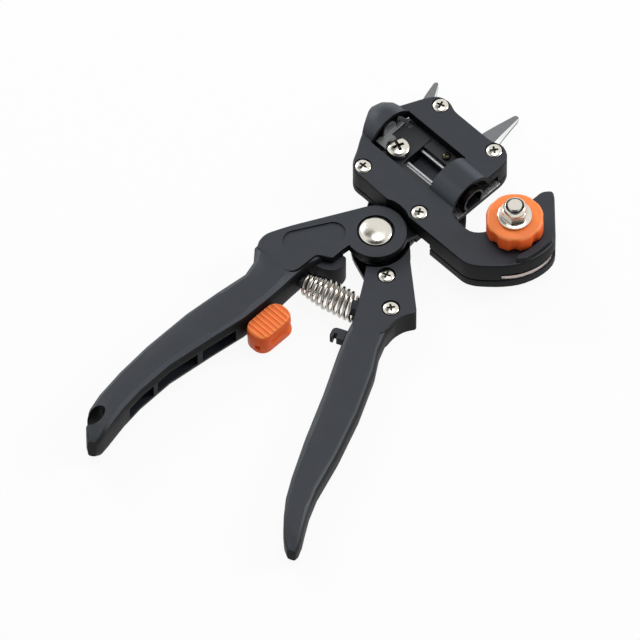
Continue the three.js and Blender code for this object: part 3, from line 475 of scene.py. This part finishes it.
def ground_blade(node, body, side):
    """The CAD blade with its top edge ground back on the side that it cuts with."""
    work = merged_copy(node)
    top = max(vert.co.z for vert in work.verts)
    foot = min(vert.co.z for vert in work.verts)
    cut_across(work, (0, 0, foot + LAND_LEFT * MM), (0, 0, 1))
    tip = max(vert.co.y for vert in work.verts) / MM
    outward = {}
    for vert in work.verts:
        walls = [face.normal for face in vert.link_faces if abs(face.normal.z) < 0.1]
        if vert.co.z > top - 0.01 * MM and walls:
            out = sum(walls, Vector()).normalized()
            if out.dot(side) > 0.3 and vert.co.y > BEVEL_START * MM:
                ease = min(1, (vert.co.y / MM - BEVEL_START) / BEVEL_RUN_IN,
                           (tip - vert.co.y / MM) / BEVEL_RUN_OUT)
                outward[vert] = out * BEVEL_WIDTH * MM * ease
    for vert, shift in outward.items():
        vert.co -= shift
    work.normal_update()
    for face in work.faces:
        # Bevel faces take the honed steel, flats the ground steel, and the walls the brown black: painted
        # shade.
        face.material_index = 1 if 0.05 < face.normal.z < 0.995 else 0 if face.normal.z > 0.5 else 2
    # Toward the pivot the whole blade takes the brown black: painted shade.
    cut_across(work, (0, SHADE_PAINTED_TO * MM, 0), (0, 1, 0))
    for face in work.faces:
        if face.calc_center_median().y < SHADE_PAINTED_TO * MM:
            face.material_index = 2
    blade = piece_from(work, f"{node}_ground", ground, body)
    blade.data.materials.append(honed)
    blade.data.materials.append(shade_painted_steel)
    smooth_by_angle(blade, 20)
    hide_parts(node)


ground_blade("fixed_blade", "frame", Vector((0.9, 0.3, 0)))
ground_blade("moving_blade", "lever", Vector((0.8, 0.5, 0)))

PUNCH_LINE = 33              # mm toward the head, the line along which the punch travels
LOOP_HALF = 5.6              # mm, half the width of the omega's loop
LOOP_BACK = 2                # mm along that line, where the loop starts

omega = dressed("omega_blade", formed, 0.08, "carriage")
omega.data.materials.append(shade_painted_steel)
# The loop, deep in the carriage, takes the brown black: painted shade.
for face in omega.data.polygons:
    in_loop = abs(face.center.y - PUNCH_LINE * MM) < LOOP_HALF * MM and face.center.x > LOOP_BACK * MM
    face.material_index = 1 if in_loop else 0


# Carriage and backbone: the punch rides in a smooth acetal carriage under a pressed clamp plate. The
# backbone is sheet steel, phosphated inside the head, bare in the hook, and rubbed bright along the
# edge that stands out of the hook's slot.
PHOSPHATED_TO = 25           # mm to the right of the pivot
SLOT_FROM = 38               # mm to the right of the pivot
SLOT_LOW, SLOT_HIGH = -14, 6.5          # mm from the anvil's bolt, along the tool
SLOT_RADIUS = 10.5           # mm from the anvil's bolt, beyond which lies the edge in the slot
SLOT_PROUD = 1.1             # mm that the edge comes nearer to the slot's mouth than its node
ANVIL_MIDDLE = Vector((34.85, PUNCH_LINE, 0))

# Acetal is smoother than the shells' nylon and has a soft gloss
# Like the nylon, its walls are painted darker as shade and its edges carry a painted pale highlight.
dark_nylon = moulded_nylon("dark_acetal_smooth", "#1d1f22", "#26282c", "#101112", "#43474c", 0.42)
# Phosphating is a matt charcoal; where the stems rub it off, the steel is bright, with a warm tint painted on
# as a reflection
phosphated = metal("phosphated_spring_steel_dark", "#2e2f31", 0.5, 0.6)
rubbed = metal("rubbed_spring_steel_bright_painted_warm_reflection", "#b8aca6", 0.28, 0.5)

dressed("clamp_plate", pressed, 0.1, "carriage")
backbone = dressed("backbone_plate", pressed, 0.15, "frame")
backbone.data.materials.append(phosphated)
backbone.data.materials.append(rubbed)
for face in backbone.data.polygons:
    if face.center.x < PHOSPHATED_TO * MM:
        face.material_index = 1
    # Walls in the hook take the bright steel and its painted warm reflection.
    elif abs(face.normal.z) < 0.5:
        face.material_index = 2
for vert in backbone.data.vertices:
    out = Vector((vert.co.x, vert.co.y, 0)) - ANVIL_MIDDLE * MM
    beside = vert.co.x > SLOT_FROM * MM and SLOT_LOW * MM < out.y < SLOT_HIGH * MM
    if beside and out.length > SLOT_RADIUS * MM:
        vert.co += out.normalized() * SLOT_PROUD * MM
dressed("die_carriage", dark_nylon, 0.2, "carriage")


# Anvil: an orange nylon wheel with eight scallops for turning it, on an M5 bolt that comes up
# through the hook, under a plated washer and a lock nut with a nylon ring in its rolled collar.
WHEEL_RADIUS = 10.15
WHEEL_BORE = 2.8
WHEEL_LOBES = 8
WHEEL_DIP = 0.1              # depth of a scallop, as a share of the wheel's radius
SCALLOP_RUN = 3.2            # mm down from the top over which the scallops deepen
RING_STEPS = 240
THREAD_PITCH = 0.8
STUD_RADIUS = 2.5
BOLT_ACROSS, NUT_ACROSS = 8.6, 8        # mm over the flats
HEX_CORNER = 0.35            # mm that the corners are turned off at the top

# Orange nylon, satin where it is grained, with a redder orange painted down its walls as shade and a paler
# one painted on its edges as highlight
orange_nylon = moulded_nylon("orange_nylon_satin", "#f87e36", "#ff8c45", "#fb6a30", "#ff9a5c", 0.38)

wheel_x, wheel_y, wheel_foot, wheel_top = middle_of("anvil_wheel")
bore_inset = WHEEL_RADIUS - WHEEL_BORE
wheel_rings = []
for inset, z in ((bore_inset, wheel_foot), (1.4, wheel_foot), (0.5, wheel_foot + 0.25),
                 (0.12, wheel_foot + 0.75), (0, wheel_foot + 1.4), (0, wheel_top - 1.5),
                 (0.12, wheel_top - 0.8), (0.5, wheel_top - 0.28), (1.1, wheel_top),
                 (3.4, wheel_top), (bore_inset, wheel_top)):
    ring = []
    for i in range(RING_STEPS):
        turn = 2 * math.pi * i / RING_STEPS
        depth = min(1, (wheel_top - z) / SCALLOP_RUN) if inset < 3 else 0
        dip = max(0, math.cos(WHEEL_LOBES * turn)) * WHEEL_DIP * depth
        reach = (WHEEL_RADIUS * (1 - dip) - inset) * MM
        ring.append((wheel_x + reach * math.cos(turn), wheel_y + reach * math.sin(turn), z * MM))
    wheel_rings.append(ring)
wheel = piece_from(skin(wheel_rings, around=True), "anvil_wheel_scalloped", orange_nylon,
                   "anvil")
smooth_by_angle(wheel, 40)
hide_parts("anvil_wheel")

turned_piece("anvil_washer", lambda foot, top: [
    (WHEEL_BORE, foot), (5.8, foot), (6, foot + 0.2), (6, top - 0.35), (5.85, top - 0.1), (5.6, top),
    (WHEEL_BORE, top), (WHEEL_BORE, foot)],
    "anvil_washer_plain", nickel, "frame")


def thread(low, high):
    """The outline of the stud's cut thread, as ridges one pitch apart."""
    pairs = []
    for i in range(int((high - low) / THREAD_PITCH)):
        z = low + i * THREAD_PITCH
        pairs += [(STUD_RADIUS, z), (STUD_RADIUS, z + 0.12 * THREAD_PITCH),
                  (STUD_RADIUS * 0.86, z + 0.5 * THREAD_PITCH), (STUD_RADIUS, z + 0.88 * THREAD_PITCH)]
    return pairs


def add_hexagon(work, centre, across, low, high):
    """Adds a six sided block with its corners turned off at the top."""
    corner = across / 2 / math.cos(math.pi / 6)
    lathe([(0, low), (corner, low), (corner, high - HEX_CORNER), (across / 2 * 0.97, high), (0, high)],
          centre, 6, work)


nut_x, nut_y, nut_foot, nut_top = middle_of("anvil_nut")
collar_top = nut_foot + 5.0
stud_top = nut_foot + 5.7
bolt_x, bolt_y, bolt_foot, bolt_top = middle_of("anvil_bolt")
bolt_work = lathe([(0, bolt_foot + 3), (STUD_RADIUS, bolt_foot + 3), (STUD_RADIUS, nut_foot)]
                  + thread(nut_foot + 0.4, stud_top - 0.3)
                  + [(STUD_RADIUS, stud_top - 0.2), (STUD_RADIUS - 0.2, stud_top), (0, stud_top)],
                  (bolt_x, bolt_y))
add_hexagon(bolt_work, (bolt_x, bolt_y), BOLT_ACROSS, bolt_foot + 0.02, bolt_foot + 3.85)
bolt = piece_from(bolt_work, "anvil_bolt_threaded", nickel, "frame")
smooth_by_angle(bolt, 30)
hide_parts("anvil_bolt")

nut_work = lathe([(WHEEL_BORE, nut_foot), (3.9, nut_foot), (3.95, collar_top - 2.4), (4.05, collar_top - 1.8),
                  (4.0, collar_top - 1.1), (3.8, collar_top - 0.45), (3.5, collar_top - 0.08),
                  (3.3, collar_top), (3.15, collar_top - 0.2), (3.1, collar_top - 0.9),
                  (WHEEL_BORE, collar_top - 0.9), (WHEEL_BORE, nut_foot)], (nut_x, nut_y), 64)
add_hexagon(nut_work, (nut_x, nut_y), NUT_ACROSS, nut_foot + 0.02, collar_top - 2.1)
nut = piece_from(nut_work, "anvil_lock_nut", nickel, "frame")
smooth_by_angle(nut, 30)
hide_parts("anvil_nut")
# The nylon ring down in the collar is real, and is coloured dark as painted shade.
ring_work = lathe([(STUD_RADIUS, collar_top - 0.85), (3.12, collar_top - 0.85), (3.12, collar_top - 0.25),
                   (STUD_RADIUS, collar_top - 0.35), (STUD_RADIUS, collar_top - 0.85)], (nut_x, nut_y), 64)
nut_ring_painted_dark = piece_from(ring_work, "anvil_nut_nylon_ring_painted_shade", dark_nylon, "frame")
smooth_by_angle(nut_ring_painted_dark, 30)


# Lock slider: moulded orange nylon with rounded ends, eight thumb ridges across its crowned top, a
# long slot and a small square hole in its sides, the lug's pocket, and a foot inside the handle.
SLIDER_LEFT, SLIDER_RIGHT, SLIDER_LOW, SLIDER_HIGH = -5.9, 3.9, -59.2, -42.5
SLIDER_ROUND = 4.2
RIDGE_COUNT = 8
GROOVE_RADIUS = 0.85
GROOVE_HEIGHT = 11.75        # mm, the middle of the round grooves between the ridges
# Left, right, low, high, bottom and top of each, in mm
LUG_POCKET = (-1.8, 4.4, -46.45, -41.5, 3.7, 7.9)
SIDE_SLOT = (2.4, 4.4, -54.6, -46.0, 5.9, 7.9)
END_HOLE = (0.2, 1.9, -59.6, -57.4, 4.6, 6.3)
TOOTH = (0.4, 1.1, -47.0, -44.4, 3.8, 7.8)
FOOT = (-11.5, -5.5, -54.5, -47.5, 4.3, 7.6)


def soft_rectangle(left, right, low, high, corner, z, per_corner=12):
    """A rounded rectangle as a ring of places, in metres."""
    ring = []
    for cx, cy, first in ((right - corner, high - corner, 0), (left + corner, high - corner, 90),
                          (left + corner, low + corner, 180), (right - corner, low + corner, 270)):
        for i in range(per_corner + 1):
            turn = math.radians(first + 90 * i / per_corner)
            ring.append(Vector((cx + corner * math.cos(turn), cy + corner * math.sin(turn), z)) * MM)
    return ring


def block(left, right, low, high, bottom, top):
    """A plain box between six places, in mm."""
    corners = ((left, low), (right, low), (right, high), (left, high))
    return skin([[Vector((x, y, z)) * MM for x, y in corners] for z in (bottom, top)])


slider_rings = []
for inset, lean, z in ((1.0, 0, 2.0), (0.35, 0, 2.2), (0, 0, 2.9), (0.05, 0.45, 9.9), (0.25, 0.5, 10.8),
                       (0.7, 0.5, 11.35), (1.2, 0.5, 11.6)):
    slider_rings.append(soft_rectangle(SLIDER_LEFT + inset - lean, SLIDER_RIGHT - inset - lean,
                                       SLIDER_LOW + inset, SLIDER_HIGH - inset,
                                       SLIDER_ROUND - inset * 0.9, z))
slider = piece_from(skin(slider_rings), "lock_slider_ridged", orange_nylon, "lock")
ridge_step = (SLIDER_HIGH - SLIDER_LOW - 2) / RIDGE_COUNT
for i in range(RIDGE_COUNT):
    at = SLIDER_LOW + 1 + ridge_step * (i + 0.5)
    groove = [Vector((x, at, GROOVE_HEIGHT)) * MM for x in (SLIDER_LEFT - 2, SLIDER_RIGHT + 1)]
    cut_with(slider, tube_along(groove, GROOVE_RADIUS * MM, 16), orange_nylon)
for hollow in (LUG_POCKET, SIDE_SLOT, END_HOLE):
    cut_with(slider, block(*hollow), orange_nylon)
smooth_by_angle(slider, 32)
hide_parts("lock_slider")
piece_from(block(*TOOTH), "lock_slider_tooth", orange_nylon, "lock")
piece_from(block(*FOOT), "lock_slider_foot", orange_nylon, "lock")


# Studio: a pale floor that the tool lies on and three soft round lamps, overhead, beyond the head
# and at the left. What the camera sees past the tool is plain white.
FLOOR_HALF = 2.5             # m
FLOOR_WHITE = 0.92           # share of plain white that the camera sees; the rest keeps the shadow


def plain_white(name, colour):
    """White as the metal sees it, nearly so to the camera, and a lit pale grey otherwise."""
    m = new_material(name)
    rays = add_node(m, "ShaderNodeLightPath")
    seen = add_node(m, "ShaderNodeEmission", inputs={"Color": (1, 1, 1, 1), "Strength": 1.0})
    lit = add_node(m, "ShaderNodeBsdfDiffuse", inputs={"Color": linear(colour)})
    some = add_node(m, "ShaderNodeMath", {"operation": "MULTIPLY"},
                    {0: rays.outputs["Is Camera Ray"], 1: FLOOR_WHITE})
    most = add_node(m, "ShaderNodeMath", {"operation": "MAXIMUM"},
                    {0: some.outputs["Value"], 1: rays.outputs["Is Glossy Ray"]})
    mix = add_node(m, "ShaderNodeMixShader", inputs={0: most.outputs["Value"], 1: lit.outputs["BSDF"],
                                                     2: seen.outputs["Emission"]})
    add_node(m, "ShaderNodeOutputMaterial", inputs={"Surface": mix.outputs["Shader"]})
    return m


sweep = bmesh.new()
bmesh.ops.create_grid(sweep, x_segments=1, y_segments=1, size=FLOOR_HALF)
floor_mesh = bpy.data.meshes.new("floor")
sweep.to_mesh(floor_mesh)
sweep.free()
floor_mesh.materials.append(plain_white("pale_floor", "#ececec"))
floor = bpy.data.objects.new("floor", floor_mesh)
bpy.context.scene.collection.objects.link(floor)

# The room is white past the tool, dim for what it lights, and has two dark patches for the metal
PATCH_OVER_CAMERA = (0.395, -0.395, 0.829)
PATCH_OVERHEAD = (-0.42, 0.08, 0.90)
WINDOW_SIDE = (-0.35, 0.6, 0.72)

world = bpy.data.worlds.new("studio")
bpy.context.scene.world = world
world.use_nodes = True
world.node_tree.nodes.clear()
rays = add_node(world, "ShaderNodeLightPath")
heading = add_node(world, "ShaderNodeTexCoord").outputs["Generated"]


def toward(direction, start, end, low, high):
    """A brightness that goes from low to high as a ray turns to a fixed direction in the room."""
    near = add_node(world, "ShaderNodeVectorMath", {"operation": "DOT_PRODUCT"},
                    {0: heading, 1: direction})
    return add_node(world, "ShaderNodeMapRange", {"interpolation_type": "SMOOTHSTEP"},
                    {"Value": near.outputs["Value"], "From Min": start, "From Max": end,
                     "To Min": low, "To Max": high}).outputs["Result"]


def world_math(operation, one, two):
    """One sum in the room's own nodes."""
    return add_node(world, "ShaderNodeMath", {"operation": operation}, {0: one, 1: two}).outputs["Value"]


room = world_math("MULTIPLY", toward(PATCH_OVER_CAMERA, 0.7, 0.95, 1.0, 0.1),
                  toward(PATCH_OVERHEAD, 0.955, 0.99, 1.0, 0.25))
gloss = world_math("MULTIPLY", rays.outputs["Is Glossy Ray"], room)
soft = world_math("MULTIPLY", rays.outputs["Is Diffuse Ray"], toward(WINDOW_SIDE, -0.4, 0.8, 0.12, 0.62))
bright = world_math("MAXIMUM", world_math("MAXIMUM", rays.outputs["Is Camera Ray"], gloss), soft)
sky = add_node(world, "ShaderNodeBackground", inputs={"Color": (1, 1, 1, 1), "Strength": bright})
add_node(world, "ShaderNodeOutputWorld", inputs={"Surface": sky.outputs["Background"]})


def lamp(name, place, size, power):
    """A round lamp aimed at the tool, its place and size in metres."""
    data = bpy.data.lights.new(name, "AREA")
    data.shape = "DISK"
    data.size = size
    data.energy = power
    light = bpy.data.objects.new(name, data)
    light.location = place
    light.rotation_euler = (Vector(place) - VIEW_MIDDLE).to_track_quat("Z", "Y").to_euler()
    bpy.context.scene.collection.objects.link(light)


lamp("overhead", (-0.05, 0.2, 1.1), 0.5, 2.4)
lamp("right_window", (0.55, 0.8, 0.6), 0.35, 4.2)
lamp("left_window", (-0.85, 0.1, 0.6), 0.35, 3.0)

bpy.context.scene.view_settings.view_transform = "Standard"
